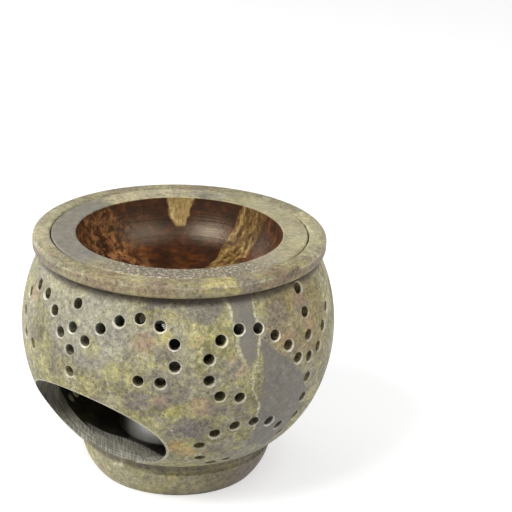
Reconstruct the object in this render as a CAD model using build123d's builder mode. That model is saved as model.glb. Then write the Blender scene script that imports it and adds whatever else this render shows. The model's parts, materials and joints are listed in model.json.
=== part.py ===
"""A turned soapstone oil burner: a pierced pot with a tealight inside and a loose oil dish in its
collar. A steel sieve, which takes the dish's place for incense, lies on the table beside it.

Millimetres, +Z up, origin at the centre of the foot's underside. The tealight opening faces -Y.
"""
import os
from math import cos, pi, radians, sin

from build123d import *

# Pot
overall_height = 80.0
belly_diameter = 100.0
belly_drop = 25.4  # of the widest part below the collar
haunch_inset = 5.9  # the outline between heel and belly
haunch_rise = 12.0
shoulder_inset = 1.9  # the outline between belly and neck
shoulder_drop = 11.7
neck_inset = 6.9
wall = 6.0

# Foot
foot_diameter = 62.0
foot_taper = 4.5  # the foot is this much narrower at the table, each side
foot_height = 10.0
foot_edge = 0.7
foot_bulge = 20.0  # radius of its rounded side
cove_height = 4.0
cove_depth = 1.33
heel_wall = 10.6  # stone between the chamber's floor and the pot's lowest outline

# Collar and the seat inside it
collar_height = 4.6
collar_overhang = 3.1
collar_wall = 5.45
collar_round = 1.3
seat_depth = 6.0
seat_chamfer = 0.4
ledge_width = 4.8
ledge_thickness = 3.2

# Chamber and its opening
floor_thickness = 12.6
floor_margin = 4.0  # flat floor round the tealight
floor_bulge = 2.82  # of the chamber's rounded bottom
opening_side = 7.5  # room at each side of the tealight
opening_headroom = 14.8
sill_step = 0.2

# Drilled ornament: dotted plants, with two pairs of scrolls on a stem. Angles are in degrees from
# the stem, and heights in percent of the pot's height.
hole_diameter = 3.5
drill_overrun = 6.5
stem_percent = (94.5, 25)
stem_holes = 7
upper_scroll = ((6.4, 62), (17, 77.5), (31, 84), (42.7, 72.5), (39.8, 52), (31.6, 49))
lower_scroll = ((4.7, 15.5), (17.5, 30), (29.2, 32.5), (40.5, 27), (45.4, 16.5), (38.4, 4.8), (29.2, 4.6))
scroll_holes = 10

# Each plant's angle from the opening, and the widths of its upper, lower left and lower right scrolls
plants = ((95, 1.0, 1.0, 1.0), (188, 0.89, 0.89, 0.89), (-84, 0.89, 0.89, 0.77))

# The short plant over the opening: its scrolls differ
short_stem_percent = (90, 55.5)
short_stem_holes = 4
short_scroll = ((6.4, 74), (19.3, 87), (32.7, 88), (40.4, 76.5), (38, 62), (27.5, 59))
short_right_holes = 9
short_left_holes = 8
short_left_width = 0.85

# Oil dish
dish_clearance = 0.45
dish_rim = 7.8
mouth_round = 0.6
bowl_depth = 17.0
dish_wall = 4.6
bowl_floor_radius = 13.0
throat_clearance = 0.5

# Tealight
cup_diameter = 38.0
cup_height = 14.0
cup_wall = 0.4
cup_bead = 0.45  # radius of the rolled rim
cup_heel = 1.0
wax_depth = 10.8
wax_rise = 0.6  # the wax climbs a little at the cup's wall
wick_diameter = 1.8
wick_stand = 4.6  # above the wax
wick_bend = 3.0  # height and sideways lean of its bent tip
wick_lean = 1.6
sustainer_diameter = 13.0
sustainer_sheet = 0.3
sustainer_tube = 3.2
cast_clearance = 0.05

# Sieve, lying beside the burner
sieve_clearance = 0.6
sieve_flange = 12.35
sieve_sheet = 0.8
sieve_neck = 1.8
sieve_lip = 1.6
mesh_thickness = 0.6
mesh_grip = 0.7
mesh_pitch = 3.2
mesh_wire = 0.9
sieve_gap = 1.5
sieve_bearing = -139.0  # degrees round from the opening

# Worked out from the sizes above
belly_radius = belly_diameter / 2
neck_radius = belly_radius - neck_inset
foot_radius = foot_diameter / 2
base_radius = foot_radius - foot_taper
collar_radius = neck_radius + collar_overhang
collar_underside = overall_height - collar_height
seat_radius = collar_radius - collar_wall
ledge = overall_height - seat_depth
throat_radius = seat_radius - ledge_width
floor_radius = cup_diameter / 2 + floor_margin
heel_height = foot_height + cove_height
heel_radius = floor_radius + heel_wall
pot_height = collar_underside - heel_height
haunch = (belly_radius - haunch_inset, heel_height + haunch_rise)
belly = (belly_radius, collar_underside - belly_drop)
shoulder = (belly_radius - shoulder_inset, collar_underside - shoulder_drop)
opening_width = cup_diameter + 2 * opening_side
opening_height = cup_height + opening_headroom
opening_middle = floor_thickness + sill_step + opening_height / 2


def inside(point):
    """The point of the chamber's wall behind a point of the pot's outline."""
    return (point[0] - wall, point[1])


# The pot's outline from heel to neck, radius and height
with BuildLine() as pot_line:
    pot_outline = Spline(
        (heel_radius, heel_height), haunch, belly, shoulder, (neck_radius, collar_underside)
    )


def drill_plane(azimuth, height):
    """The tangent plane of the pot at a height, facing outwards. Azimuth 0 is the opening's side."""
    low, high = 0.0, 1.0
    while high - low > 1e-6:
        middle = (low + high) / 2
        if (pot_outline @ middle).Y < height:
            low = middle
        else:
            high = middle
    radius = (pot_outline @ low).X
    along = pot_outline % low
    turn = radians(azimuth - 90)
    outward = (along.Y * cos(turn), along.Y * sin(turn), -along.X)
    return Plane((radius * cos(turn), radius * sin(turn), height), z_dir=outward)


def height_at(percent):
    return heel_height + pot_height * percent / 100


def scroll(stem, side, points, count, width=1.0):
    """Holes evenly spaced along a scroll on one side of a stem: side is 1 or -1."""
    with BuildLine():
        curve = Spline(
            *[(radians(angle * width) * belly_radius, height_at(percent)) for angle, percent in points]
        )
    spots = [curve @ (index / (count - 1)) for index in range(count)]
    return [drill_plane(stem + side * spot.X / belly_radius * 180 / pi, spot.Y) for spot in spots]


def stem_row(stem, span, count):
    """Holes evenly spaced down a stem, between two heights in percent."""
    top, bottom = span
    step = (top - bottom) / (count - 1)
    return [drill_plane(stem, height_at(top - step * index)) for index in range(count)]


# The short plant stands over the opening, and the full ones stand round the rest of the pot
drilled = stem_row(0, short_stem_percent, short_stem_holes)
drilled += scroll(0, 1, short_scroll, short_right_holes)
drilled += scroll(0, -1, short_scroll, short_left_holes, short_left_width)
for stem, upper, lower_left, lower_right in plants:
    drilled += stem_row(stem, stem_percent, stem_holes)
    drilled += scroll(stem, -1, upper_scroll, scroll_holes, upper)
    drilled += scroll(stem, 1, upper_scroll, scroll_holes, upper)
    drilled += scroll(stem, -1, lower_scroll, scroll_holes, lower_left)
    drilled += scroll(stem, 1, lower_scroll, round(scroll_holes * lower_right), lower_right)

# Burner body: turned outside and inside, then cut open and drilled
with BuildPart() as burner_body:
    with BuildSketch(Plane.XZ):
        with BuildLine():
            Line((0, 0), (base_radius, 0))
            RadiusArc((base_radius, 0), (foot_radius, foot_height - foot_edge), -foot_bulge)
            Line((foot_radius, foot_height - foot_edge), (foot_radius - foot_edge, foot_height))
            SagittaArc((foot_radius - foot_edge, foot_height), (heel_radius, heel_height), cove_depth)
            add(pot_outline)
            Line((neck_radius, collar_underside), (collar_radius - collar_round, collar_underside))
            RadiusArc(
                (collar_radius - collar_round, collar_underside),
                (collar_radius, collar_underside + collar_round),
                -collar_round,
            )
            Line(
                (collar_radius, collar_underside + collar_round),
                (collar_radius, overall_height - collar_round),
            )
            RadiusArc(
                (collar_radius, overall_height - collar_round),
                (collar_radius - collar_round, overall_height),
                -collar_round,
            )
            Polyline(
                (collar_radius - collar_round, overall_height),
                (seat_radius + seat_chamfer, overall_height),
                (seat_radius, overall_height - seat_chamfer),
                (seat_radius, ledge),
                (throat_radius, ledge),
                (throat_radius, ledge - ledge_thickness),
            )
            chamber_wall = Spline(
                (throat_radius, ledge - ledge_thickness), inside(shoulder), inside(belly), inside(haunch)
            )
            SagittaArc(chamber_wall @ 1, (floor_radius, floor_thickness), floor_bulge)
            Polyline((floor_radius, floor_thickness), (0, floor_thickness), (0, 0))
        make_face()
    revolve(axis=Axis.Z)
    with BuildSketch(Plane.XZ):
        with Locations((0, opening_middle)):
            Ellipse(opening_width / 2, opening_height / 2)
    extrude(amount=belly_diameter, mode=Mode.SUBTRACT)
    with Locations(*drilled):
        Hole(hole_diameter / 2, wall + drill_overrun)

# Oil dish: a flange on the ledge and a bowl that hangs through the throat
flange_radius = seat_radius - dish_clearance
dish_top = overall_height
mouth_radius = flange_radius - dish_rim
bowl_floor = dish_top - bowl_depth
hang_radius = throat_radius - throat_clearance
with BuildPart() as oil_dish:
    with BuildSketch(Plane.XZ):
        with BuildLine():
            Line((0, bowl_floor), (bowl_floor_radius, bowl_floor))
            Spline(
                (bowl_floor_radius, bowl_floor),
                (mouth_radius, dish_top - mouth_round),
                tangents=((1, 0), (0.12, 1)),
            )
            RadiusArc(
                (mouth_radius, dish_top - mouth_round),
                (mouth_radius + mouth_round, dish_top),
                mouth_round,
            )
            Polyline(
                (mouth_radius + mouth_round, dish_top),
                (flange_radius - seat_chamfer, dish_top),
                (flange_radius, dish_top - seat_chamfer),
                (flange_radius, ledge),
                (hang_radius, ledge),
                (hang_radius, ledge - ledge_thickness),
            )
            Spline(
                (hang_radius, ledge - ledge_thickness),
                (bowl_floor_radius + dish_wall, bowl_floor - dish_wall),
                tangents=((0, -1), (-1, 0)),
            )
            Polyline(
                (bowl_floor_radius + dish_wall, bowl_floor - dish_wall),
                (0, bowl_floor - dish_wall),
                (0, bowl_floor),
            )
        make_face()
    revolve(axis=Axis.Z)

# Tealight cup: drawn aluminium with a rolled rim
cup_radius = cup_diameter / 2 - cup_bead + cup_wall / 2
cup_inner = cup_radius - cup_wall
cup_floor = floor_thickness + cup_wall
cup_rim = floor_thickness + cup_height - cup_bead
with BuildPart() as tealight_cup:
    with BuildSketch(Plane.XZ):
        with BuildLine():
            Polyline(
                (0, cup_floor),
                (0, floor_thickness),
                (cup_radius - cup_heel, floor_thickness),
                (cup_radius, floor_thickness + cup_heel),
                (cup_radius, cup_rim),
                (cup_inner, cup_rim),
                (cup_inner, cup_floor + cup_heel),
                (cup_inner - cup_heel, cup_floor),
                (0, cup_floor),
            )
        make_face()
        with Locations((cup_radius - cup_wall / 2, cup_rim)):
            Circle(cup_bead)
    revolve(axis=Axis.Z)

# Wick sustainer: a steel disc on the cup's floor with a tube that grips the wick
tube_bore = wick_diameter / 2 + cast_clearance
tube_radius = tube_bore + sustainer_sheet
disc_radius = sustainer_diameter / 2
disc_top = cup_floor + sustainer_sheet
tube_top = cup_floor + sustainer_tube
with BuildPart() as wick_sustainer:
    with BuildSketch(Plane.XZ):
        with BuildLine():
            Polyline(
                (tube_bore, cup_floor),
                (disc_radius, cup_floor),
                (disc_radius, disc_top),
                (tube_radius, disc_top),
                (tube_radius, tube_top),
                (tube_bore, tube_top),
                (tube_bore, cup_floor),
            )
        make_face()
    revolve(axis=Axis.Z)

# Wax: cast round the sustainer and the wick, with a low pool round the wick
wax_radius = cup_inner - cast_clearance
wax_top = cup_floor + wax_depth
with BuildPart() as tealight_wax:
    with BuildSketch(Plane.XZ):
        with BuildLine():
            Polyline(
                (tube_bore, wax_top),
                (tube_bore, tube_top + cast_clearance),
                (tube_radius + cast_clearance, tube_top + cast_clearance),
                (tube_radius + cast_clearance, disc_top + cast_clearance),
                (disc_radius + cast_clearance, disc_top + cast_clearance),
                (disc_radius + cast_clearance, cup_floor),
                (wax_radius - cup_heel, cup_floor),
                (wax_radius, cup_floor + cup_heel),
                (wax_radius, wax_top + wax_rise),
            )
            Spline(
                (wax_radius, wax_top + wax_rise),
                (tube_bore, wax_top),
                tangents=((-0.4, -1), (-1, 0)),
            )
        make_face()
    revolve(axis=Axis.Z)

# Wick: upright in the wax, with its tip bent over
with BuildPart() as tealight_wick:
    with BuildLine(Plane.XZ):
        upright = Line((0, cup_floor), (0, wax_top + wick_stand - wick_bend))
        TangentArc(upright @ 1, upright @ 1 + Vector(wick_lean, 0, wick_bend), tangent=upright % 1)
    with BuildSketch(Plane.XY.offset(cup_floor)):
        Circle(wick_diameter / 2)
    sweep()

# Sieve: a stamped ring whose drawn neck is rolled over the edge of a wire disc
sieve_radius = seat_radius - sieve_clearance
sieve_reach = belly_radius + sieve_gap + sieve_radius
sieve_turn = radians(sieve_bearing - 90)
sieve_spot = (sieve_reach * cos(sieve_turn), sieve_reach * sin(sieve_turn), 0)
sieve_axis = Axis(sieve_spot, (0, 0, 1))
neck_inner = sieve_radius - sieve_flange
neck_outer = neck_inner + sieve_sheet + mesh_grip
mesh_bottom = sieve_sheet
mesh_top = mesh_bottom + mesh_thickness
ring_bottom = mesh_top + cast_clearance + sieve_neck
with BuildPart() as sieve_ring:
    with BuildSketch(Plane(sieve_spot, x_dir=(1, 0, 0), z_dir=(0, -1, 0))):
        with BuildLine():
            Polyline(
                (neck_inner - sieve_lip, 0),
                (neck_outer, 0),
                (neck_outer, ring_bottom),
                (sieve_radius, ring_bottom),
                (sieve_radius, ring_bottom + sieve_sheet),
                (neck_inner, ring_bottom + sieve_sheet),
                (neck_inner, mesh_top + cast_clearance),
                (neck_inner + mesh_grip + cast_clearance, mesh_top + cast_clearance),
                (neck_inner + mesh_grip + cast_clearance, mesh_bottom),
                (neck_inner - sieve_lip, mesh_bottom),
                (neck_inner - sieve_lip, 0),
            )
        make_face()
    revolve(axis=sieve_axis)

# Sieve mesh: the wire disc, as a flat net
mesh_radius = neck_inner + mesh_grip
net_radius = neck_inner - sieve_lip - mesh_pitch
net_count = 2 * int(net_radius / mesh_pitch) + 1
with BuildPart() as sieve_mesh:
    with BuildSketch(Plane(sieve_spot).offset(mesh_bottom)):
        Circle(mesh_radius)
        with GridLocations(mesh_pitch, mesh_pitch, net_count, net_count) as net:
            gaps = [spot for spot in net.local_locations if spot.position.length < net_radius]
        with Locations(*gaps):
            Rectangle(mesh_pitch - mesh_wire, mesh_pitch - mesh_wire, mode=Mode.SUBTRACT)
    extrude(amount=mesh_thickness)

pieces = {
    "burner_body": burner_body,
    "oil_dish": oil_dish,
    "tealight_cup": tealight_cup,
    "tealight_wax": tealight_wax,
    "tealight_wick": tealight_wick,
    "wick_sustainer": wick_sustainer,
    "sieve_ring": sieve_ring,
    "sieve_mesh": sieve_mesh,
}
os.makedirs("parts", exist_ok=True)
for name, piece in pieces.items():
    piece.part.label = name
    export_step(piece.part, f"parts/{name}.step")
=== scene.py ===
"""Looks of the soapstone oil burner: worn stone, steel, wax and light, built round its solids.

Metres, in the solids' own frame: +Z up, origin under the foot, the tealight opening towards -Y.
Azimuths are degrees round from the opening, positive towards +X.
"""
import json
from math import cos, degrees, hypot, pi, radians, sin

import bpy
from mathutils import Matrix, Quaternion, Vector

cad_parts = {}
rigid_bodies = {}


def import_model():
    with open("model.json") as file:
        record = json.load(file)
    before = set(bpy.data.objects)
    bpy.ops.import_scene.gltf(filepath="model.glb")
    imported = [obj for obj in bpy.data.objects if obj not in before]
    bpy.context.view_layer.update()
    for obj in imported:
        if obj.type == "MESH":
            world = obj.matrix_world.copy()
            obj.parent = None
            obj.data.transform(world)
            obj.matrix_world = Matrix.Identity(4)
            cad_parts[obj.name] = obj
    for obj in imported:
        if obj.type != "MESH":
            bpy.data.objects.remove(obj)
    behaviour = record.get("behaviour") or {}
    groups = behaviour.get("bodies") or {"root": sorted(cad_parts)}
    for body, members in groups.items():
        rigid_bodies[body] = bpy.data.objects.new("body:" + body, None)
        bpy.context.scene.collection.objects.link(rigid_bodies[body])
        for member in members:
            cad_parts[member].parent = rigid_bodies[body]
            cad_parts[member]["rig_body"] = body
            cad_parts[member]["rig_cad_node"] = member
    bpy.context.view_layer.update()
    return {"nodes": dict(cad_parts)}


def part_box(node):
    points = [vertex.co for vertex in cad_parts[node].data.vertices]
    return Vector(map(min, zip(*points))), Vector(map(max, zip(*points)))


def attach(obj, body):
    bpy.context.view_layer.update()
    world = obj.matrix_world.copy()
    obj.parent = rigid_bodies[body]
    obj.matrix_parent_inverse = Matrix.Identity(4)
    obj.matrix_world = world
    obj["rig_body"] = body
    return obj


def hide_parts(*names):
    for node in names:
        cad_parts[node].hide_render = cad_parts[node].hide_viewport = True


MM = 0.001

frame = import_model()
pot_low, pot_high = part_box("burner_body")
dish_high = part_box("oil_dish")[1]
net_low, net_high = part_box("sieve_mesh")
wick_low, wick_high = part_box("tealight_wick")

# The side that is shown, and the camera in front of it
shown_azimuth = 41.0
camera_elevation = 24.05
camera_distance = 0.579
camera_aim = Vector((0, 0, 0.0386))
camera_lens = 125.7
camera_roll = 0.91
camera_shift = (0.1532, 0.1854)
camera_sensor = 36
camera_near = 0.01
lamp_distance = 0.9

# The pot's parts, as its solid has them, from the foot up
foot_height = 11.5 * MM
heel_height = 14 * MM
opening_middle = 27.2 * MM
opening_half_width = 26.5 * MM
opening_half_height = 14.4 * MM
chamber_radius = 32 * MM
ledge_height = 70.7 * MM
neck_height = 75.4 * MM
hole_radius = 1.75 * MM

# Degrees of turn between two faces that make their edge a sharp one
sharp_turn = 40


class Shade:
    """An output of a node, on which sums can be written."""

    def __init__(self, paint, socket):
        self.paint = paint
        self.socket = socket

    def __add__(self, other):
        return self.paint.sum("ADD", self, other)

    def __sub__(self, other):
        return self.paint.sum("SUBTRACT", self, other)

    def __rsub__(self, other):
        return self.paint.sum("SUBTRACT", other, self)

    def __mul__(self, other):
        return self.paint.sum("MULTIPLY", self, other)

    def __truediv__(self, other):
        return self.paint.sum("DIVIDE", self, other)

    def __pow__(self, other):
        return self.paint.sum("POWER", self, other)

    def __abs__(self):
        return self.paint.sum("ABSOLUTE", self)

    __radd__ = __add__
    __rmul__ = __mul__


class Paint:
    """The nodes of one material, or of the surround, added one by one."""

    def __init__(self, owner):
        owner.use_nodes = True
        self.owner = owner
        self.tree = owner.node_tree
        self.tree.nodes.clear()

    def node(self, kind, settings=None, inputs=None, output=0):
        """Adds a node, sets it, fills or joins its inputs, and gives one of its outputs."""
        made = self.tree.nodes.new(kind)
        for name, setting in (settings or {}).items():
            if name == "stops":
                fill_ramp(made.color_ramp, setting)
            elif name == "points":
                fill_curve(made.mapping, setting)
            else:
                setattr(made, name, setting)
        for name, value in (inputs or {}).items():
            if isinstance(value, Shade):
                self.tree.links.new(value.socket, made.inputs[name])
            else:
                made.inputs[name].default_value = value
        return Shade(self, made.outputs[output]) if made.outputs else None

    def sum(self, operation, *values):
        return self.node("ShaderNodeMath", {"operation": operation}, dict(enumerate(values)))

    def vector(self, operation, *values):
        return self.node("ShaderNodeVectorMath", {"operation": operation}, dict(enumerate(values)))

    def scaled(self, vector, size):
        inputs = {"Vector": vector, "Scale": size}
        return self.node("ShaderNodeVectorMath", {"operation": "SCALE"}, inputs)

    def most(self, first, *others):
        """The largest of some numbers."""
        for other in others:
            first = self.sum("MAXIMUM", first, other)
        return first

    def length(self, across, up):
        """The length of a line by its two legs."""
        return self.sum("SQRT", across * across + up * up)

    def ray(self, kind):
        """1 for light rays of a kind, such as Camera, and 0 for others."""
        return self.node("ShaderNodeLightPath", output=f"Is {kind} Ray")

    def place(self):
        """Object coordinates in millimetres."""
        return self.scaled(self.node("ShaderNodeTexCoord", output="Object"), 1 / MM)

    def split(self, place):
        """The three numbers of a vector."""
        first = self.node("ShaderNodeSeparateXYZ", None, {0: place})
        return [Shade(self, socket) for socket in first.socket.node.outputs]

    def join(self, *values):
        """A vector of three numbers."""
        return self.node("ShaderNodeCombineXYZ", None, dict(enumerate(values)))

    def attribute(self, name):
        """A number that the piece's own faces carry."""
        return self.node("ShaderNodeAttribute", {"attribute_name": name}, output="Fac")

    def radius(self, place):
        """Distance from the turning axis."""
        x, y, z = self.split(place)
        return self.length(x, y)

    def bearing(self, place, zero=0.0):
        """Degrees round the turning axis, counted from the azimuth zero."""
        x, y, z = self.split(place)
        turn = radians(zero)
        across = x * cos(turn) + y * sin(turn)
        ahead = x * sin(turn) - y * cos(turn)
        return self.sum("ARCTAN2", across, ahead) * degrees(1)

    def noise(self, place, size, seed, detail=4.0, roughness=0.55, output=0):
        """Clouds about as large as size, in millimetres, from 0 to 1."""
        return self.node(
            "ShaderNodeTexNoise",
            {"noise_dimensions": "4D"},
            {"Vector": place, "W": seed, "Scale": 1 / size, "Detail": detail, "Roughness": roughness},
            output,
        )

    def rise(self, value, low, high):
        """0 below low, 1 above high, and smooth between."""
        return self.node(
            "ShaderNodeMapRange",
            {"interpolation_type": "SMOOTHSTEP"},
            {"Value": value, "From Min": low, "From Max": high},
        )

    def fall(self, value, low, high):
        """1 below low, 0 above high, and smooth between."""
        return 1 - self.rise(value, low, high)

    def mix(self, factor, first, second, blend="MIX"):
        """A colour between two colours."""
        return self.node(
            "ShaderNodeMix",
            {"data_type": "RGBA", "blend_type": blend},
            {0: factor, 6: first, 7: second},
            2,
        )

    def ramp(self, value, *stops):
        return self.node("ShaderNodeValToRGB", {"stops": stops}, {0: value})

    def stray(self, place, size, reach, seed):
        """The place, pushed about by clouds, so that what is drawn there has a ragged edge."""
        push = self.noise(place, size, seed, 3, output=1)
        push = self.vector("SUBTRACT", push, (0.5, 0.5, 0.5))
        return self.vector("ADD", place, self.scaled(push, reach))

    def finish(self, inputs, height=None, relief=0.1):
        """The surface shader, with a relief of height in millimetres where one is given."""
        if height is not None:
            inputs["Normal"] = self.node(
                "ShaderNodeBump", None, {"Strength": relief, "Distance": MM, "Height": height}
            )
        shader = self.node("ShaderNodeBsdfPrincipled", None, inputs)
        self.node("ShaderNodeOutputMaterial", None, {"Surface": shader})
        return self.owner


def new_paint(name):
    return Paint(bpy.data.materials.new(name))


def fill_ramp(ramp, stops):
    """Sets a colour ramp's stops, as pairs of position and colour."""
    while len(ramp.elements) < len(stops):
        ramp.elements.new(1.0)
    for element, (position, colour) in zip(ramp.elements, stops):
        element.position = position
        element.color = colour


def fill_curve(mapping, points):
    """Sets the points of a curve that goes from 0 to 1 both ways."""
    curve = mapping.curves[0]
    while len(curve.points) < len(points):
        curve.points.new(0.5, 0.5)
    for point, (across, up) in zip(curve.points, points):
        point.location = (across, up)
    mapping.update()


def tint(red, green, blue):
    """A colour by its display values, 0 to 255."""
    shares = [value / 255 for value in (red, green, blue)]
    return (*[s / 12.92 if s <= 0.04045 else ((s + 0.055) / 1.055) ** 2.4 for s in shares], 1)


# Stone colours
OLIVE_DEEP = tint(98, 92, 62)
OLIVE = tint(144, 138, 96)
KHAKI = tint(176, 168, 116)
STRAW = tint(182, 173, 98)
GREY = tint(146, 141, 129)
MAUVE = tint(108, 98, 98)
SLATE = tint(117, 112, 106)
PALE = tint(212, 206, 182)
PINK = tint(180, 142, 112)
OCHRE = tint(184, 146, 82)
CREAM = tint(218, 211, 172)
# Near black for the chamber's inside: soot and painted shade
SOOT_AND_SHADE = tint(20, 18, 14)
UMBER = tint(84, 74, 68)

# Millimetres to a degree round the belly
ARC = 50 * radians(1)


def patch(paint, spot, corners, soft):
    """A mask of what lies inside corners, which go round anticlockwise as (azimuth, height)."""
    azimuth, height = spot
    inside = None
    for (start, low), (end, high) in zip(corners, corners[1:] + corners[:1]):
        along = (end - start) * ARC
        up = high - low
        length = hypot(along, up)
        reach = (height - low) * (along / length) - (azimuth - start) * (ARC * up / length)
        inside = reach if inside is None else paint.sum("MINIMUM", inside, reach)
    return paint.rise(inside, -soft, soft)


def spots(paint, spot, places, size):
    """Soft round spots about places, given as (azimuth, height)."""
    azimuth, height = spot
    found = None
    for place, level in places:
        off = ((azimuth - place) * ARC) ** 2 + (height - level) ** 2
        round_spot = paint.fall(off, 0, size**2)
        found = round_spot if found is None else paint.most(found, round_spot)
    return found


def vein(paint, spot, points, width):
    """A thin vein that climbs through points, given as (azimuth, height), from the lowest up."""
    azimuth, height = spot
    left = min(point[0] for point in points)
    right = max(point[0] for point in points)
    low = points[0][1]
    high = points[-1][1]
    tall = high - low
    wide = right - left
    course = [((level - low) / tall, (turn - left) / wide) for turn, level in points]
    path = paint.node("ShaderNodeFloatCurve", {"points": course}, {"Value": (height - low) / tall})
    off = abs(azimuth - (path * wide + left)) * ARC
    within = paint.rise(height, low - 0.5, low + 1) * paint.fall(height, high - 0.5, high + 0.5)
    return paint.fall(off, width * 0.35, width) * within


def soapstone(paint, place):
    """The colour of olive stone through and through: clouds, grey patches, tints, flecks, hair veins."""
    wander = paint.stray(place, 9, 5, 1)
    clouds = paint.noise(wander, 9, 2, 7, 0.7)
    colour = paint.ramp(clouds, (0.36, OLIVE_DEEP), (0.5, OLIVE), (0.62, KHAKI))
    grey = paint.rise(paint.noise(wander, 14, 3, 6, 0.7), 0.46, 0.56)
    colour = paint.mix(grey * 0.6, colour, GREY)
    straw = paint.rise(paint.noise(wander, 5, 5, 6, 0.72), 0.52, 0.64)
    colour = paint.mix(straw * 0.6, colour, STRAW)
    pink = paint.rise(paint.noise(wander, 6, 6, 5, 0.7), 0.57, 0.68)
    colour = paint.mix(pink * 0.4, colour, PINK)
    clumps = paint.noise(wander, 8, 14, 3) * 0.5 - 0.25
    flecks = paint.rise(paint.noise(place, 2.2, 4, 6, 0.8) + clumps, 0.5, 0.62)
    colour = paint.mix(flecks * 0.65, colour, MAUVE)
    crumbs = paint.rise(paint.noise(place, 1.5, 15, 5, 0.8) - clumps, 0.55, 0.66)
    colour = paint.mix(crumbs * 0.4, colour, CREAM)
    hairs = paint.node(
        "ShaderNodeTexVoronoi",
        {"feature": "DISTANCE_TO_EDGE"},
        {"Vector": paint.stray(place, 6, 7, 12), "Scale": 1 / 24},
    )
    hairs = paint.fall(hairs, 0.003, 0.014) * paint.rise(paint.noise(place, 15, 13, 2), 0.52, 0.62)
    return paint.mix(hairs * 0.4, colour, PALE)


def grained(paint, place, colour, strength):
    """A colour with the stone's grain over it, and the relief of that grain."""
    grain = paint.noise(place, 1.3, 7, 6, 0.8)
    shade = paint.ramp(grain, (0.3, (0.1, 0.1, 0.1, 1)), (0.7, (0.9, 0.9, 0.9, 1)))
    colour = paint.mix(strength, colour, shade, "OVERLAY")
    pits = paint.rise(paint.noise(place, 0.7, 8, 2), 0.62, 0.7)
    colour = paint.mix(pits * 0.5, colour, OLIVE_DEEP, "MULTIPLY")
    return colour, paint.noise(place, 0.6, 9, 3) * 0.5 - pits * 0.4


def blotched(paint, mask, broken):
    """A soft mask turned into ragged blotches."""
    return paint.rise(mask + (broken - 0.5) * 3, 0.35, 1.0)


def lathe_lines(paint, place, size, seed):
    """Fine rings that a turning tool leaves."""
    x, y, z = paint.split(place)
    return paint.noise(paint.join(paint.radius(place), 0.0, z), size, seed, 3, 0.7)


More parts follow.
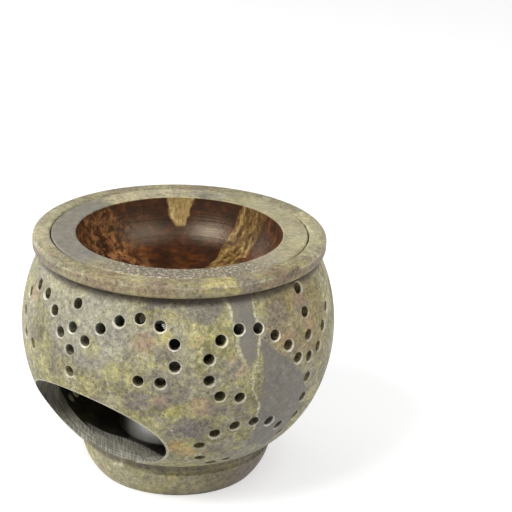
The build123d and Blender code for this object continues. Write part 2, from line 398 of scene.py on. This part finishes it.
def pot_stone():
    """The pot's stone, with the slate patch, veins and tints of its shown side. Lengths in millimetres."""
    paint = new_paint("pot_stone")
    place = paint.place()
    colour = soapstone(paint, place)
    x, y, z = paint.split(place)
    foot_top = foot_height / MM
    heel = heel_height / MM
    neck = neck_height / MM
    collar_top = pot_high.z / MM
    ragged = paint.stray(paint.stray(place, 6, 3, 31), 1.4, 1.1, 32)
    ragged_x, ragged_y, ragged_z = paint.split(ragged)
    spot = (paint.bearing(ragged), ragged_z)
    broken = paint.noise(place, 2.2, 33, 6, 0.78)

    left_grey = patch(paint, spot, [(-8, 56), (14, 50), (27, 60), (24, 76), (-30, 76)], 5)
    colour = paint.mix(left_grey * 0.55, colour, tint(160, 157, 142))
    warm = patch(paint, spot, [(76, 58), (90, 50), (110, 48), (110, 76), (75, 76)], 4)
    colour = paint.mix(warm * 0.5, colour, tint(150, 130, 84))
    low_green = patch(paint, spot, [(70, 13), (100, 13), (98, 24), (86, 22), (72, 27)], 2.5)
    colour = paint.mix(low_green * 0.7, colour, tint(136, 133, 112))
    purple = [(41.6, 46.4), (45.8, 35), (52, 34.6), (26, 44.6), (81, 67.6), (93.5, 67.6)]
    pink = [(29.6, 62), (49.4, 42.4), (93.6, 70), (96, 60), (84, 59), (-27, 65.5)]
    ochre = [(41, 27), (45, 24), (36, 25)]
    lime = [(30, 24), (27, 32), (33, 20), (9, 58), (40, 40), (18, 52)]
    for places, size, strength, stain in (
        (purple, 6, 0.5, MAUVE),
        (pink, 5, 0.4, PINK),
        (ochre, 4, 0.5, OCHRE),
        (lime, 5, 0.35, tint(176, 170, 88)),
    ):
        blotches = blotched(paint, spots(paint, spot, places, size), broken)
        colour = paint.mix(blotches * strength, colour, stain)

    slate_colour = paint.ramp(
        broken, (0.36, tint(108, 102, 98)), (0.5, SLATE), (0.66, tint(142, 136, 128))
    )
    away = paint.fall(abs(paint.bearing(place, 30)), 75, 95)
    far_slate = paint.rise(paint.noise(paint.stray(place, 5, 3, 41), 34, 42, 2, 0.4), 0.56, 0.575)
    colour = paint.mix(far_slate * (1 - away) * 0.9, colour, slate_colour)

    under_collar = patch(paint, spot, [(38, 71), (52, 67.5), (57.5, 70), (59, 76), (31, 76)], 1.2)
    colour = paint.mix(under_collar * 0.7, colour, tint(124, 119, 111))
    band = patch(paint, spot, [(66, 54), (70, 56), (71, 76), (58.6, 76), (61, 67)], 0.5)
    colour = paint.mix(band * 0.8, colour, tint(122, 117, 111))
    slate = patch(paint, spot, [(72, 24), (86, 20), (94.5, 31), (95.5, 40), (90, 47.6), (72, 61.5)], 0.5)
    colour = paint.mix(slate * 0.9, colour, slate_colour)
    first_vein = [
        (65, 56), (63.4, 59), (62.7, 63.5), (61.2, 68), (60.7, 70.6), (59.8, 72.8), (58.6, 75.5),
    ]
    second_vein = [
        (69.3, 29.5), (71.7, 37), (70.4, 43), (68.2, 49), (68.6, 52.5),
        (70, 56), (70.7, 59.7), (71.5, 63), (70.5, 67), (70.8, 75),
    ]
    patchy = paint.rise(broken, 0.4, 0.58)
    fading = paint.rise(z, first_vein[0][1] - 2, first_vein[-1][1] - 1.5) * 0.6 + 0.4
    veins = vein(paint, spot, first_vein, 1.0) * fading
    veins = paint.most(veins, vein(paint, spot, second_vein, 0.6) * 0.7)
    colour = paint.mix(veins * (patchy * 0.75 + 0.2), colour, CREAM)

    neck_shade = paint.rise(z, neck - 3.4, neck - 1.8) * paint.fall(z, neck - 0.2, neck + 0.4)
    colour = paint.mix(neck_shade * 0.75, colour, tint(66, 54, 44))
    collar = paint.rise(z, neck - 0.1, neck + 0.5)
    turned = lathe_lines(paint, place, 0.45, 51)
    drawn_out = paint.join(ragged_x * 0.3, ragged_y * 0.3, ragged_z)
    drawn = paint.noise(drawn_out, 3, paint.radius(ragged) / 3 + 52, 6, 0.7)
    collar_colour = paint.ramp(
        drawn + (turned - 0.5) * 0.2,
        (0.38, tint(98, 86, 68)), (0.45, tint(142, 116, 88)), (0.5, tint(132, 124, 98)),
        (0.55, tint(162, 150, 100)), (0.63, tint(188, 180, 140)),
    )
    colour = paint.mix(collar * 0.65, colour, collar_colour)
    side = collar * paint.fall(z, collar_top - 1.8, collar_top - 0.6)
    colour = paint.mix(side * 0.3, colour, tint(140, 116, 96))
    aside = abs(paint.bearing(place, shown_azimuth))
    pale_sides = paint.rise(aside, 50, 75) * paint.fall(aside, 110, 140) * collar * (1 - side)
    colour = paint.mix(pale_sides * 0.4, colour, tint(200, 193, 160))
    yellow = patch(paint, spot, [(50, 74), (62, 74), (65, 77.5), (61, 82), (50, 82)], 1)
    colour = paint.mix(yellow * collar * (patchy * 0.4 + 0.4), colour, tint(180, 168, 112))
    plum = patch(paint, spot, [(64.5, 74), (71, 74), (72, 82), (64, 82)], 0.8)
    colour = paint.mix(plum * collar * 0.7, colour, tint(128, 117, 107))
    collar_edge = paint.fall(abs(z - (collar_top - 1.1)), 0.2, 0.5) * collar * paint.rise(drawn, 0.42, 0.56)
    colour = paint.mix(collar_edge * 0.35, colour, PALE)
    specks = paint.rise(broken, 0.53, 0.64)
    colour = paint.mix(specks * collar * 0.5, colour, tint(98, 86, 68))
    streaks = paint.noise(drawn_out, 9, paint.radius(ragged) / 12 + 53, 4, 0.6)
    streaks = paint.rise(streaks, 0.47, 0.53)
    colour = paint.mix(streaks * collar * 0.45, colour, tint(132, 127, 108))

    # The cove above the foot is darkened: partly dirt in the groove, partly painted shade under the belly.
    cove_dirt_and_shade = paint.rise(z, foot_top - 1.9, foot_top - 0.5) * paint.fall(z, heel - 1.5, heel + 0.6)
    colour = paint.mix(cove_dirt_and_shade * 0.6, colour, UMBER)
    # The foot is painted darker on its right and paler on its left: partly its own purple-brown and khaki
    # tones, partly painted shade on the right and painted light on the left, as the light falls from the
    # left.
    foot = paint.fall(z, foot_top - 2.5, foot_top - 0.5)
    foot_turn = paint.bearing(ragged, shown_azimuth)
    foot_shaded_side = paint.rise(foot_turn, -40, 50) * paint.fall(foot_turn, 120, 175)
    colour = paint.mix(foot * foot_shaded_side * 0.7, colour, tint(108, 94, 88))
    colour = paint.mix(foot * (1 - foot_shaded_side) * 0.45, colour, tint(196, 188, 144))
    smooth = paint.most(slate, band, far_slate * (1 - away))
    colour, height = grained(paint, place, colour, 0.95 - smooth * 0.75)

    saw_marks = paint.noise(paint.join(x * 0.05, y, z * 0.08), 0.55, 61, 4, 0.75)
    marked = paint.attribute("inside")
    sill_line = -19.4
    sill_bow = 0.0115
    sill = paint.fall(y + x * x * sill_bow, sill_line - 0.2, sill_line + 0.2)
    sill = sill * paint.fall(z, heel + 1, heel + 1.6) * paint.rise(marked, 0.5, 0.6)
    sawn = paint.most(paint.attribute("sawn"), sill)
    sawn_colour = paint.ramp(
        saw_marks, (0.38, tint(74, 71, 63)), (0.5, tint(108, 105, 95)), (0.62, tint(156, 152, 138))
    )
    hatching = paint.noise(paint.join(x + y, (x - y) * 0.06, z), 0.7, 65, 3, 0.6)
    dusted = paint.rise(saw_marks + hatching, 0.85, 1.15)
    dust = paint.mix(dusted, tint(166, 162, 144), tint(252, 248, 230))
    sawn_colour = paint.mix(paint.fall(z, heel + 0.5, heel + 7) * 0.92, sawn_colour, dust)
    colour = paint.mix(sawn * 0.9, colour, sawn_colour)
    # The chamber's inner faces are painted near black: partly soot, partly painted shade inside the chamber.
    inside = marked * (1 - sill)
    colour = paint.mix(inside, colour, SOOT_AND_SHADE)
    across = x / (opening_half_width / MM)
    up = (z - opening_middle / MM) / (opening_half_height / MM)
    lip_line = 1.012
    lip = paint.fall(abs(paint.length(across, up) - lip_line), 0.008, 0.02) * paint.fall(y, -8, -2)
    chipped = paint.rise(paint.noise(place, 1.3, 62, 4, 0.7), 0.36, 0.6)
    fresh = paint.rise(paint.noise(place, 16, 64, 2), 0.36, 0.6) * 0.65 + 0.25
    rim = paint.most(paint.attribute("worn") * fresh, lip * (1 - sawn) * (1 - inside) * 0.5)
    colour = paint.mix(rim * (chipped * 0.5 + 0.5), colour, tint(226, 221, 202))

    height = height * (1 - sawn) + saw_marks * sawn * 0.8 + turned * collar * 0.6
    roughness = paint.noise(place, 3, 63, 3) * 0.2 + 0.42 + sawn * 0.2
    inputs = {"Base Color": colour, "Roughness": roughness, "Specular IOR Level": 0.4}
    return paint.finish(inputs, height, 0.25)


def dish_stone():
    """The dish: a honed grey rim, and a dark polished bowl with golden veins. Lengths in millimetres."""
    paint = new_paint("dish_stone")
    place = paint.place()
    colour = soapstone(paint, place)
    x, y, z = paint.split(place)
    brim = dish_high.z / MM
    back = shown_azimuth + 180
    ragged = paint.stray(paint.stray(place, 6, 3, 31), 1.4, 1.4, 32)
    spot = (paint.bearing(ragged, back), paint.split(ragged)[2])
    turned = lathe_lines(paint, place, 0.4, 71)

    broken = paint.noise(place, 2.4, 79, 6, 0.75)
    top = paint.rise(z, brim - 0.4, brim - 0.1)
    colour = paint.mix(0.2, colour, tint(140, 134, 121))
    right = paint.fall(abs(paint.bearing(ragged, back - 90)), 40, 75)
    colour = paint.mix(right * 0.45, colour, tint(182, 174, 142))
    behind = paint.fall(abs(paint.bearing(ragged, back + 20)), 16, 34)
    colour = paint.mix(behind * paint.rise(broken, 0.4, 0.6) * 0.8, colour, tint(196, 182, 150))
    colour, height = grained(paint, place, colour, 0.6)
    left = paint.fall(abs(paint.bearing(ragged, back + 90)), 42, 52)
    left_colour = paint.ramp(
        broken, (0.36, tint(108, 104, 98)), (0.5, tint(124, 120, 111)), (0.66, tint(146, 142, 130))
    )
    colour = paint.mix(left * 0.85, colour, left_colour)
    front = paint.fall(abs(paint.bearing(place, shown_azimuth + 4)), 25, 60) * top
    colour = paint.mix(front * 0.75, colour, tint(102, 90, 76))
    sugar = paint.rise(paint.noise(place, 1.0, 72, 5, 0.75), 0.5, 0.6)
    sugar = sugar * paint.rise(broken, 0.34, 0.5)
    colour = paint.mix(front * sugar * 0.8, colour, tint(218, 211, 196))

    brown = paint.noise(paint.stray(place, 7, 6, 73), 7, 74, 7, 0.72)
    bowl_colour = paint.ramp(
        brown, (0.36, tint(26, 11, 4)), (0.5, tint(56, 25, 8)), (0.64, tint(100, 54, 20))
    )
    rust = paint.rise(paint.noise(ragged, 3, 75, 6, 0.75), 0.45, 0.62)
    rust = rust * paint.rise(spot[0], 20, 60) * paint.fall(spot[0], 130, 175)
    bowl_colour = paint.mix(rust * 0.85, bowl_colour, tint(176, 122, 72))
    strands = paint.noise(paint.join(x, y, z * 0.25), 1.8, 76, 5, 0.8)
    gold = paint.ramp(
        strands, (0.36, tint(42, 22, 8)), (0.5, tint(118, 88, 42)), (0.64, tint(192, 164, 102))
    )
    bright_gold = paint.ramp(
        strands, (0.34, tint(110, 82, 44)), (0.5, tint(172, 146, 90)), (0.64, tint(206, 184, 130))
    )
    band = patch(paint, spot, [(-57, 60), (-37, 60), (-33, 66.5), (-40, 82), (-58, 82)], 0.8)
    fringe = patch(paint, spot, [(-80, 64), (-57, 60), (-57, 82), (-80, 82)], 4)
    tongue = patch(paint, spot, [(-3, 71), (3, 71), (7, 74), (8, 82), (-8, 82), (-6, 74)], 0.8)
    red_streaks = paint.rise(strands, 0.5, 0.62)
    bowl_colour = paint.mix(fringe * red_streaks * 0.7, bowl_colour, tint(140, 88, 46))
    bowl_colour = paint.mix(band * 0.85, bowl_colour, gold)
    bowl_colour = paint.mix(tongue * 0.9, bowl_colour, bright_gold)
    grain = paint.noise(place, 1.1, 77, 6, 0.8)
    shade = paint.ramp(grain, (0.3, (0.2, 0.2, 0.2, 1)), (0.7, (0.8, 0.8, 0.8, 1)))
    bowl_colour = paint.mix(0.6, bowl_colour, shade, "OVERLAY")

    bowl_flat = 15.5
    bowl_side = 17.95
    across = paint.most(paint.radius(place) - bowl_flat, 0.0)
    down = z - brim
    bowl = paint.fall(paint.length(across, down), bowl_side - 0.25, bowl_side + 0.25)
    bowl = bowl * paint.fall(down, -0.5, -0.1)
    colour = paint.mix(bowl, colour, bowl_colour)
    roughness = 0.46 - bowl * 0.19 + paint.noise(place, 2, 78, 3) * 0.12
    height = height * (1 - bowl * 0.7) + turned * (0.8 - bowl * 0.25)
    inputs = {
        "Base Color": colour, "Roughness": roughness, "Specular IOR Level": 0.8,
        "Specular Tint": (1, 0.82, 0.6, 1),
    }
    return paint.finish(inputs, height, 0.2)


def metal(name, bright, dull, roughness, streaks):
    """Worked metal with dull clouds of handling. Its marks are drawn out along x, y and z as streaks says."""
    paint = new_paint(name)
    place = paint.place()
    marks = paint.noise(paint.vector("MULTIPLY", place, streaks), 1.6, 1, 4, 0.6)
    clouds = paint.noise(place, 6, 2, 4)
    worn = paint.rise(clouds + (marks - 0.5) * 0.8, 0.3, 0.75)
    colour = paint.mix(worn, bright, dull)
    roughness = worn * 0.14 + roughness
    return paint.finish({"Base Color": colour, "Metallic": 1.0, "Roughness": roughness}, marks, 0.06)


def sieve_steel():
    """The ring's satin steel: rings brushed round its middle, and two weld marks near its hole."""
    paint = new_paint("sieve_steel")
    place = paint.place()
    middle = (net_low + net_high) / 2 / MM
    off = paint.vector("SUBTRACT", place, middle)
    across, ahead, up = paint.split(off)
    out = paint.length(across, ahead)
    brushed = paint.noise(paint.join(out, up, 0.0), 0.6, 1, 4, 0.7)
    clouds = paint.noise(place, 9, 2, 5, 0.6)
    colour = paint.mix(paint.rise(clouds, 0.35, 0.7), tint(226, 222, 206), tint(204, 199, 180))
    weld_radius = 0.9
    weld_place = 35.0
    weld = paint.length(abs(across) - weld_place, ahead)
    weld = paint.fall(weld, weld_radius * 0.6, weld_radius)
    colour = paint.mix(weld * 0.75, colour, tint(92, 84, 70))
    inputs = {
        "Base Color": colour, "Metallic": 0.55, "Roughness": brushed * 0.2 + 0.32,
        "Specular IOR Level": 0.5,
    }
    return paint.finish(inputs, brushed * 0.5 - weld * 0.4, 0.1)


def wax():
    paint = new_paint("wax")
    place = paint.place()
    cloud = paint.noise(place, 4, 1, 4)
    colour = paint.mix(cloud, tint(236, 232, 220), tint(246, 244, 236))
    return paint.finish({"Base Color": colour, "Roughness": 0.35, "Subsurface Weight": 0.2}, cloud, 0.1)


def cotton():
    paint = new_paint("wick_cotton")
    place = paint.place()
    fibres = paint.noise(place, 0.25, 1, 3)
    colour = paint.mix(fibres, tint(196, 188, 168), tint(232, 226, 210))
    return paint.finish({"Base Color": colour, "Roughness": 0.8}, fibres, 0.2)


def deselect():
    if bpy.context.object is not None and bpy.context.object.mode != "OBJECT":
        bpy.ops.object.mode_set(mode="OBJECT")
    bpy.ops.object.select_all(action="DESELECT")


def choose(piece):
    """Makes a piece the only one selected, and the active one."""
    deselect()
    piece.select_set(True)
    bpy.context.view_layer.objects.active = piece


def copy_of(node, name):
    """A copy of a solid's mesh with its loose triangles merged."""
    merged_within = 0.002 * MM
    piece = frame["nodes"][node].copy()
    piece.data = piece.data.copy()
    piece.name = name
    piece.data.name = name
    piece.parent = None
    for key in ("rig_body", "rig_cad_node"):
        del piece[key]
    bpy.context.scene.collection.objects.link(piece)
    choose(piece)
    bpy.ops.mesh.customdata_custom_splitnormals_clear()
    bpy.ops.object.mode_set(mode="EDIT")
    bpy.ops.mesh.select_all(action="SELECT")
    bpy.ops.mesh.remove_doubles(threshold=merged_within)
    bpy.ops.mesh.select_all(action="DESELECT")
    bpy.ops.object.mode_set(mode="OBJECT")
    return piece


def outwardness(normal, middle):
    """How far a face of a turned piece looks away from the turning axis, from -1 to 1."""
    away = Vector((middle.x, middle.y, 0))
    return normal.dot(away.normalized()) if away.length > 0 else 0.0


def sharp_edges(mesh, least):
    """Edges whose two faces turn by more than least degrees, each with its faces."""
    sides = {}
    for face in mesh.polygons:
        for key in face.edge_keys:
            sides.setdefault(key, []).append(face)
    limit = cos(radians(least))
    for edge in mesh.edges:
        faces = sides[edge.key]
        if len(faces) == 2 and faces[0].normal.dot(faces[1].normal) < limit:
            yield edge, faces


def hole_mouths(mesh):
    """The drilled holes' outer mouths, each as its middle and the way that the wall faces there."""
    least_outward = 0.45
    play = 0.2 * MM
    facing = {}
    joined = {}
    for edge, faces in sharp_edges(mesh, sharp_turn):
        outer = max(faces, key=lambda face: outwardness(face.normal, face.center))
        on_wall = heel_height < outer.center.z < neck_height
        if not on_wall or outwardness(outer.normal, outer.center) < least_outward:
            continue
        first, second = edge.vertices
        joined.setdefault(first, []).append(second)
        joined.setdefault(second, []).append(first)
        facing[first] = facing[second] = outer.normal
    while joined:
        start, ahead = joined.popitem()
        rim = [start]
        while ahead:
            vertex = ahead.pop()
            if vertex in joined:
                ahead = ahead + joined.pop(vertex)
                rim.append(vertex)
        middle = sum((mesh.vertices[vertex].co for vertex in rim), Vector()) / len(rim)
        reach = sum((mesh.vertices[vertex].co - middle).length for vertex in rim) / len(rim)
        if abs(reach - hole_radius) < play:
            yield middle, sum((facing[vertex] for vertex in rim), Vector()).normalized()


def dress(piece, body, node, material):
    """Hangs a finished piece on its body, in a solid's place."""
    piece.data.materials.clear()
    piece.data.materials.append(material)
    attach(piece, body)
    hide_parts(node)


def chip_mouths(pot):
    """Cuts a chipped countersink into the mouth of every drilled hole, mostly on its lower side."""
    wear = 0.42 * MM
    proud = 0.12 * MM
    drift = 0.2 * MM
    sides = 20
    unevenness = 0.04
    stagger = 2.4
    deselect()
    bpy.ops.mesh.primitive_cone_add(vertices=sides, radius1=0, radius2=1, depth=1)
    bit = bpy.context.object
    bit.data.transform(Matrix.Translation((0, 0, 0.5)))
    for vertex in bit.data.vertices:
        swing = 1 - unevenness * sin(5 * vertex.index) ** 2
        vertex.co.x *= swing
        vertex.co.y *= swing
    bits = []
    mouths = list(hole_mouths(pot.data))
    for number, (middle, facing) in enumerate(mouths):
        nearest = min((middle - other).length for other, _ in mouths if other is not middle)
        twist = stagger * number
        depth = hole_radius + wear * (1 + 0.25 * sin(twist))
        depth = min(depth, nearest / 2 - drift - proud)
        turn = facing.to_track_quat("Z", "Y").to_matrix().to_4x4() @ Matrix.Rotation(twist, 4, "Z")
        right = Vector((-middle.y, middle.x, 0)).normalized()
        down = right.cross(facing)
        chip = (right * cos(twist) + down * 2).normalized() * drift
        chip = chip * (0.6 + 0.4 * sin(1.7 * number))
        shape = bit.data.copy()
        size = Matrix.Scale(depth + proud, 4)
        shape.transform(Matrix.Translation(middle + chip - facing * depth) @ turn @ size)
        bits.append(bpy.data.objects.new("bit", shape))
        bpy.context.scene.collection.objects.link(bits[-1])
    bpy.data.objects.remove(bit)
    deselect()
    for bit in bits:
        bit.select_set(True)
    bpy.context.view_layer.objects.active = bits[0]
    bpy.ops.object.join()
    cutter = bpy.context.object
    cutter.data.materials.clear()
    cutter.data.materials.append(bpy.data.materials.new("chipped"))
    pot.data.materials.clear()
    pot.data.materials.append(bpy.data.materials.new("whole"))
    choose(pot)
    cut = pot.modifiers.new("countersinks", "BOOLEAN")
    cut.operation = "DIFFERENCE"
    cut.solver = "EXACT"
    cut.material_mode = "TRANSFER"
    cut.object = cutter
    bpy.ops.object.modifier_apply(modifier=cut.name)
    bpy.data.objects.remove(cutter)


def shape_pot():
    """The stone pot, with worn mouths at its drilled holes, and marks for its sawn faces and for its inner
    faces, painted dark for soot and for the shade inside the chamber.
    """
    soot_and_shade, faint_soot_and_shade = 0.7, 0.25
    most_outward = 0.4
    cut_inner, cut_outer = 0.985, 1.008
    marks = ("worn", "inside", "sawn")
    pot = copy_of("burner_body", "pot")
    chip_mouths(pot)
    mesh = pot.data
    for name in marks:
        mesh.attributes.new(name, "FLOAT", "FACE")
    worn, inside, sawn = (mesh.attributes[name].data for name in marks)
    # Inner walls and the chamber floor get the inside mark, which the stone paints dark: soot and painted
    # shade.
    for face in mesh.polygons:
        worn[face.index].value = face.material_index
        if face.material_index:
            continue
        middle = face.center
        outward = outwardness(face.normal, middle)
        turned_in = outward < most_outward
        on_wall = heel_height < middle.z < ledge_height and turned_in
        on_floor = foot_height < middle.z < heel_height and face.normal.z > 0.5
        across = middle.x / opening_half_width
        up = (middle.z - opening_middle) / opening_half_height
        if middle.y < 0 and turned_in and cut_inner < hypot(across, up) < cut_outer:
            sawn[face.index].value = 1
        elif on_wall:
            inside[face.index].value = soot_and_shade if outward < -0.2 else faint_soot_and_shade
        elif on_floor and hypot(*middle.xy) < chamber_radius:
            inside[face.index].value = soot_and_shade
    choose(pot)
    bpy.ops.object.shade_smooth_by_angle(angle=radians(28))
    dress(pot, "burner", "burner_body", pot_stone())


def shape_sieve_ring():
    """The stamped ring, its sharp edges rolled round."""
    roll = 0.22 * MM
    ring = copy_of("sieve_ring", "ring")
    mesh = ring.data
    for edge, faces in sharp_edges(mesh, sharp_turn):
        edge.select = True
    bpy.context.tool_settings.mesh_select_mode = (False, True, False)
    bpy.ops.object.mode_set(mode="EDIT")
    bpy.ops.mesh.bevel(offset=roll, segments=3, affect="EDGES", clamp_overlap=True)
    bpy.ops.object.mode_set(mode="OBJECT")
    choose(ring)
    bpy.ops.object.shade_smooth_by_angle(angle=radians(35))
    dress(ring, "sieve", "sieve_ring", sieve_steel())


def wire(curve, points, radius):
    """Adds one wire to a curve, through points."""
    spline = curve.splines.new("POLY")
    spline.points.add(len(points) - 1)
    for point, spot in zip(spline.points, points):
        point.co = (*spot, 1)
    curve.bevel_depth = radius
    curve.bevel_resolution = 0


def made_mesh(curve, name):
    """A mesh piece of a curve's wires."""
    piece = bpy.data.objects.new(name, curve)
    bpy.context.scene.collection.objects.link(piece)
    choose(piece)
    bpy.ops.object.convert(target="MESH")
    piece = bpy.context.object
    piece.data.name = name
    bpy.ops.object.shade_smooth()
    return piece


def weave_sieve():
    """The sieve's plain weave: wires that go over and under each other in turn."""
    pitch = 1.25 * MM
    thickness = 0.28 * MM
    middle = (net_low + net_high) / 2
    reach = (net_high.x - net_low.x) / 2
    wave = thickness / 2
    count = int(reach / pitch)
    curve = bpy.data.curves.new("weave", "CURVE")
    curve.dimensions = "3D"
    for row in range(-count, count + 1):
        chord = (reach**2 - (row * pitch) ** 2) ** 0.5
        steps = int(chord / pitch)
        if steps < 1:
            continue
        for along_x in (True, False):
            points = []
            for step in range(-2 * steps, 2 * steps + 1):
                run = step * pitch / 2
                over = 1 if (row + along_x) % 2 else -1
                lift = over * wave * cos(step * pi / 2)
                spot = (run, row * pitch, lift) if along_x else (row * pitch, run, lift)
                points.append(middle + Vector(spot))
            wire(curve, points, thickness / 2)
    weave = made_mesh(curve, "wire_cloth")
    steel = metal("mesh_steel", tint(150, 146, 124), tint(112, 108, 88), 0.38, (1, 1, 1))
    dress(weave, "sieve", "sieve_mesh", steel)


def braid_wick():
    """The tealight's wick: three cotton strands plaited round its bent line."""
    strand = 0.42 * MM
    swing = 0.42 * MM
    bent_part = 3 * MM
    turns = 5
    samples = 72
    radius = (wick_high.y - wick_low.y) / 2
    lean = wick_high.x - radius
    foot = wick_low.z + strand
    tip = wick_high.z - strand - swing
    bend = tip - bent_part
    curve = bpy.data.curves.new("wick", "CURVE")
    curve.dimensions = "3D"
    for number in range(3):
        points = []
        for sample in range(samples + 1):
            share = sample / samples
            height = foot + (tip - foot) * share
            over = max(0.0, (height - bend) / (tip - bend))
            turn = 2 * pi * (turns * share + number / 3)
            across = lean * over**2 + swing * sin(turn)
            points.append((across, swing * sin(2 * turn) * 0.8, height))
        wire(curve, points, strand)
    curve.bevel_resolution = 2
    curve.use_fill_caps = True
    wick = made_mesh(curve, "wick")
    dress(wick, "tealight", "tealight_wick", cotton())


def paint_solids():
    """Finishes for the solids that are shown as they are."""
    foil = metal("cup_aluminium", tint(214, 214, 216), tint(196, 196, 197), 0.28, (2, 2, 0.1))
    tinned = metal("tinned_steel", tint(196, 196, 194), tint(158, 156, 150), 0.32, (1, 1, 1))
    finishes = {
        "oil_dish": dish_stone(),
        "tealight_cup": foil,
        "tealight_wax": wax(),
        "wick_sustainer": tinned,
    }
    for node, material in finishes.items():
        solid = frame["nodes"][node]
        solid.data.materials.clear()
        solid.data.materials.append(material)


def seen_from(azimuth, elevation, distance, aim):
    """A place at a distance from aim, by azimuth and elevation in degrees."""
    turn = radians(azimuth)
    rise = radians(elevation)
    return aim + distance * Vector((sin(turn) * cos(rise), -cos(turn) * cos(rise), sin(rise)))


def point_at(thing, aim):
    thing.rotation_mode = "QUATERNION"
    thing.rotation_quaternion = (aim - thing.location).to_track_quat("-Z", "Y")


def set_camera():
    camera = bpy.data.objects.new("camera", bpy.data.cameras.new("camera"))
    bpy.context.scene.collection.objects.link(camera)
    camera.location = seen_from(shown_azimuth, camera_elevation, camera_distance, camera_aim)
    point_at(camera, camera_aim)
    roll = Quaternion((0, 0, 1), radians(camera_roll))
    camera.rotation_quaternion = camera.rotation_quaternion @ roll
    camera.data.lens = camera_lens
    camera.data.sensor_width = camera_sensor
    camera.data.shift_x, camera.data.shift_y = camera_shift
    camera.data.clip_start = camera_near
    bpy.context.scene.camera = camera


def soft_lamp(name, azimuth, elevation, size, power):
    """A square softbox that looks at the pot."""
    lamp = bpy.data.objects.new(name, bpy.data.lights.new(name, "AREA"))
    bpy.context.scene.collection.objects.link(lamp)
    lamp.location = seen_from(azimuth, elevation, lamp_distance, camera_aim)
    point_at(lamp, camera_aim)
    lamp.data.size = size
    lamp.data.energy = power


def set_light():
    """Three softboxes, and a surround that the camera sees white and polished pieces see dark overhead."""
    soft_lamp("left_softbox", shown_azimuth - 50, 50, 0.36, 5.9)
    soft_lamp("right_softbox", shown_azimuth + 56, 51, 0.6, 3.0)
    soft_lamp("side_softbox", shown_azimuth - 128, 14, 0.6, 2.6)
    ambient = 0.45
    overhead = 0.06
    paint = Paint(bpy.data.worlds.new("surround"))
    bpy.context.scene.world = paint.owner
    across, ahead, up = paint.split(paint.node("ShaderNodeTexCoord", output="Generated"))
    polished = paint.fall(up, 0.1, 0.3) * (1 - overhead) + overhead
    glossy = paint.ray("Glossy")
    seen = paint.most(paint.ray("Camera"), paint.ray("Transmission"))
    level = glossy * polished + (1 - glossy) * ambient
    level = seen + (1 - seen) * level
    white = {"Color": (1, 1, 1, 1), "Strength": level}
    shader = paint.node("ShaderNodeBackground", None, white)
    paint.node("ShaderNodeOutputWorld", None, {"Surface": shader})


def lay_floor():
    """A plain white floor that keeps the shadow. Part of its white is a glow of its own."""
    floor_size = 6
    floor_grey = 0.62
    floor_glow = 0.5
    deselect()
    bpy.ops.mesh.primitive_plane_add(size=floor_size, location=(0, 0, pot_low.z))
    floor = bpy.context.object
    floor.name = "floor"
    paint = new_paint("floor")
    seen = paint.most(paint.ray("Camera"), paint.ray("Glossy"), paint.ray("Transmission"))
    matt = paint.node("ShaderNodeBsdfDiffuse", None, {"Color": (floor_grey, floor_grey, floor_grey, 1)})
    glow = paint.node("ShaderNodeEmission", None, {"Strength": seen * floor_glow})
    both = paint.node("ShaderNodeAddShader", None, {0: matt, 1: glow})
    paint.node("ShaderNodeOutputMaterial", None, {"Surface": both})
    floor.data.materials.append(paint.owner)


set_camera()
set_light()
lay_floor()
shape_pot()
shape_sieve_ring()
weave_sieve()
braid_wick()
paint_solids()

bpy.context.scene.view_settings.view_transform = "Standard"
